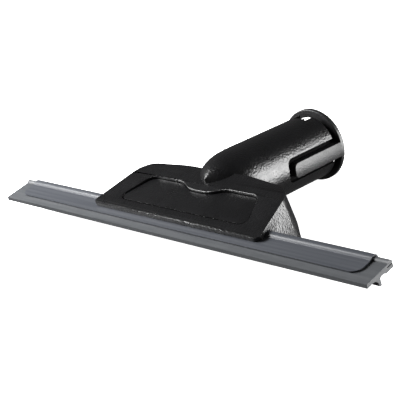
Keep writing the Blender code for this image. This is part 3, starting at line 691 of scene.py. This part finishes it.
def jet_frame():
    """Frame on the slanting face: local Y up the face, local Z out of it."""
    low, high = (Vector((0, *point)) for point in JET_FACE)
    up = (high - low).normalized()
    out = Vector((1, 0, 0)).cross(up)
    made = Matrix((up.cross(out), up, out)).transposed().to_4x4()
    return Matrix.Translation((low + high) / 2) @ made


def bar_prism(name, out, grow=0.0):
    """The nozzle bar, or with grow the slot for it; out is how far it stands out."""
    half_height, depth = (size + grow for size in BAR_SECTION)
    outline = [(half_height, out), (half_height, -depth), (-half_height, -depth),
               (-half_height, out)]
    half = BAR_HALF + grow
    return prism(name, outline, (-half, half), jet_frame() @ ALONG_X)


def make_base(looks):
    """Cover under the body, with six screw seats and the nozzle bar's slot."""
    base = prism("base_skin", plate_outline(), (-BODY_DEPTH, 0.0), PLATE)
    combine(base, "INTERSECT", prism("base_side", side_outline(), (-SPAN, SPAN), ALONG_X))
    above = block("above", (-FAR, -FAR, PARTING_Z), (FAR, 30 * MM, FAR))
    combine(base, "DIFFERENCE", above, channel(), bar_prism("bar_slot", 5 * MM, GAP))
    for x in BASE_SCREW_X:
        profile = [(0, 10 * MM), (SEAT["hole"], 10 * MM), (SEAT["hole"], SEAT["depth"]),
                   (SEAT["radius"], SEAT["depth"]), (SEAT["radius"], -2 * MM),
                   (0, -2 * MM)]
        combine(base, "DIFFERENCE", turned("seat", profile, screw_axis(x), 48))
    for side in (1, -1):
        way = rod("key_way", KEY_WAY_RADIUS, -30 * MM, 0.0, rail_screw_axis(side), 32)
        combine(base, "DIFFERENCE", way)
    bevel(base, 0.25 * MM, 2, 50)
    return finish_piece(base, "head", "base_cover",
                        looks["black_plastic"])


def make_bar(looks):
    """Bar of steam jets under the blade, with its inlet barb."""
    bar = bar_prism("bar_skin", -0.2 * MM)
    inlet = Matrix.Translation((0, 0, INLET_Z)) @ ALONG_Y
    combine(bar, "UNION", rod("inlet", BARB_RADIUS, -42.5 * MM, -32.6 * MM, inlet, 40))
    combine(bar, "DIFFERENCE", rod("feed", FEED_RADIUS, -43 * MM, -30 * MM, inlet, 32))
    for i in range(NOZZLE_COUNT):
        x = (i - (NOZZLE_COUNT - 1) / 2) * NOZZLE_PITCH
        where = jet_frame() @ Matrix.Translation((x, 0, 0))
        combine(bar, "DIFFERENCE", rod("jet", JET_RADIUS, -JET_DEPTH, 2 * MM, where, 20))
    bevel(bar, 0.15 * MM, 2, 50)
    return finish_piece(bar, "head", "nozzle_bar", looks["brass"])


def make_base_screw(index, x, looks):
    """Self-tapping screw from below, its rounded head sunk in the base."""
    profile = [(0, 13 * MM), (0.6 * MM, 13 * MM), (1.3 * MM, 11.5 * MM),
               (1.3 * MM, 2.3 * MM), (2.8 * MM, 2.3 * MM)]
    profile += arc((2.2 * MM, 1.0 * MM), 0.6 * MM, 0, -90, 6) + [(0, 0.4 * MM)]
    screw = turned("base_screw_skin", profile, screw_axis(x), 48)
    drive = rod("drive", 1.3 * MM, -1 * MM, 1.5 * MM, screw_axis(x), 6)
    combine(screw, "DIFFERENCE", drive)
    return finish_piece(screw, "head", f"base_screw_{index}", looks["steel"])


def make_rail_screw(side, looks):
    """Grub screw that bears on the rail's hem from below."""
    axis = rail_screw_axis(side)
    high = -2.7 * MM
    profile = [(0, high), (1.0 * MM, high), (1.5 * MM, high - 0.5 * MM),
               (1.5 * MM, high - 6 * MM), (0, high - 6 * MM)]
    screw = turned("rail_screw_skin", profile, axis, 40)
    socket = rod("key", 0.8 * MM, high - 8 * MM, high - 4.5 * MM, axis, 6)
    combine(screw, "DIFFERENCE", socket)
    node = "rail_screw_right" if side > 0 else "rail_screw_left"
    return finish_piece(screw, "head", node, looks["steel"])


def make_spigot(looks):
    """Turned nipple through the bulkhead: hose barb, flange, two seal grooves."""
    bore, radius, floor = SPIGOT_BORE, SPIGOT_RADIUS, SPIGOT_RADIUS - SEAL_GROOVE
    profile = [(bore, SPIGOT_END)]
    profile += arc((radius - 0.8 * MM, SPIGOT_END - 0.8 * MM), 0.8 * MM, 90, 0, 6)
    for height in reversed(SEAL_HEIGHTS):
        back, front = height + SEAL_GROOVE, height - SEAL_GROOVE
        profile += [(radius, back), (floor, back), (floor, front), (radius, front)]
    profile += [(radius, 10.3 * MM), (7.6 * MM, 10.3 * MM), (8.0 * MM, 9.9 * MM),
                (8.0 * MM, 8.3 * MM), (4.4 * MM, 8.3 * MM), (4.4 * MM, -1 * MM),
                (BARB_RADIUS, -1 * MM), (BARB_RADIUS, -9.4 * MM), (bore, -9.4 * MM)]
    spigot = turned("spigot_skin", profile, TUBE, 96, closed=True)
    return finish_piece(spigot, "head", "steam_spigot", looks["brass"])


def make_seal(node, height, looks):
    """O-ring standing proud of its groove in the spigot."""
    wire = 0.8 * MM
    profile = arc((5.4 * MM, height), wire, 0, 345, 23)
    seal = turned("seal_skin", profile, TUBE, 96, closed=True)
    return finish_piece(seal, "head", node, looks["seal_rubber"])


def paint_cad_nodes(looks):
    """Give every CAD node that still shows the finish of its slot."""
    slots = {part["node"]: part["material_slot"] for part in frame["record"]["subparts"]}
    for node, made in frame["nodes"].items():
        made.data.materials.clear()
        made.data.materials.append(looks[slots[node]])


# ---------------------------------------------------------------- camera and light
CAMERA_PLACE = Vector((404.12, -397.18, 215.44)) * MM
CAMERA_AZIMUTH = 47.80
CAMERA_DOWN = 19.736
CAMERA_ROLL = -8.716
CAMERA_LENS = 104.96
CAMERA_SENSOR = 36.0
SOFT_BOXES = (
    # name, (azimuth, elevation), distance, (width, height), watts, glossy
    ("box_right_back", (41, 2), 1.2, (0.6, 0.85), 33, True),
    ("box_left_front", (214, 28), 1.2, (0.45, 0.8), 34, True),
    ("box_near_left", (205, 40), 0.45, (0.25, 0.15), 3.6, False),
)
WORLD_STRENGTH = 0.09
FLOOR_HALF = 4.0
FLOOR_Z = -0.02 * MM


def make_camera():
    """Camera to the front right of the head, above it and tilted to one side."""
    data = bpy.data.cameras.new("camera")
    data.lens = CAMERA_LENS
    data.sensor_width = CAMERA_SENSOR
    data.clip_start = 0.01
    camera = bpy.data.objects.new("camera", data)
    bpy.context.scene.collection.objects.link(camera)
    turn = (Matrix.Rotation(math.radians(CAMERA_AZIMUTH), 4, "Z")
            @ Matrix.Rotation(math.radians(90 - CAMERA_DOWN), 4, "X")
            @ Matrix.Rotation(math.radians(CAMERA_ROLL), 4, "Z"))
    camera.matrix_world = Matrix.Translation(CAMERA_PLACE) @ turn
    bpy.context.scene.camera = camera


def soft_box(name, towards, distance, size, power, glossy):
    """A rectangular light that faces the head; towards is azimuth, elevation."""
    azimuth, up = (math.radians(angle) for angle in towards)
    data = bpy.data.lights.new(name, "AREA")
    data.shape = "RECTANGLE"
    data.size, data.size_y = size
    data.energy = power
    lamp = bpy.data.objects.new(name, data)
    bpy.context.scene.collection.objects.link(lamp)
    out = Vector((math.cos(azimuth) * math.cos(up), math.sin(azimuth) * math.cos(up),
                  math.sin(up)))
    lamp.location = Vector((0, 0, AXIS_Z)) + out * distance
    lamp.rotation_mode = "QUATERNION"
    lamp.rotation_quaternion = out.to_track_quat("Z", "Y")
    lamp.visible_glossy = glossy


def make_studio():
    """White floor that only the camera sees, dim surroundings and three soft boxes."""
    mesh = bpy.data.meshes.new("floor")
    work = bmesh.new()
    bmesh.ops.create_grid(work, x_segments=1, y_segments=1, size=FLOOR_HALF)
    work.to_mesh(mesh)
    work.free()
    floor = bpy.data.objects.new("floor", mesh)
    bpy.context.scene.collection.objects.link(floor)
    floor.location.z = FLOOR_Z
    look = Look("floor_white", (0.95, 0.95, 0.95), 0.9)
    look.shader.inputs["Emission Color"].default_value = (1.0, 1.0, 1.0, 1.0)
    look.shader.inputs["Emission Strength"].default_value = 1.0
    mesh.materials.append(look.material)
    floor.visible_glossy = False
    floor.visible_diffuse = False
    floor.visible_shadow = False

    world = bpy.data.worlds.new("surroundings")
    world.use_nodes = True
    background = world.node_tree.nodes["Background"]
    background.inputs["Color"].default_value = (1, 1, 1, 1)
    background.inputs["Strength"].default_value = WORLD_STRENGTH
    bpy.context.scene.world = world

    for settings in SOFT_BOXES:
        soft_box(*settings)


bpy.context.scene.view_settings.view_transform = "Standard"
LOOKS = make_materials()
paint_cad_nodes(LOOKS)
make_shell(LOOKS)
make_panel(LOOKS)
make_rail(LOOKS)
make_rubber(LOOKS)
make_ring(LOOKS)
make_base(LOOKS)
make_bar(LOOKS)
make_spigot(LOOKS)
for number, screw_x in enumerate(BASE_SCREW_X, start=1):
    make_base_screw(number, screw_x, LOOKS)
for facing_side in (1, -1):
    make_rail_screw(facing_side, LOOKS)
for seal_node, seal_height in zip(("spigot_seal_front", "spigot_seal_rear"), SEAL_HEIGHTS):
    make_seal(seal_node, seal_height, LOOKS)
make_camera()
make_studio()
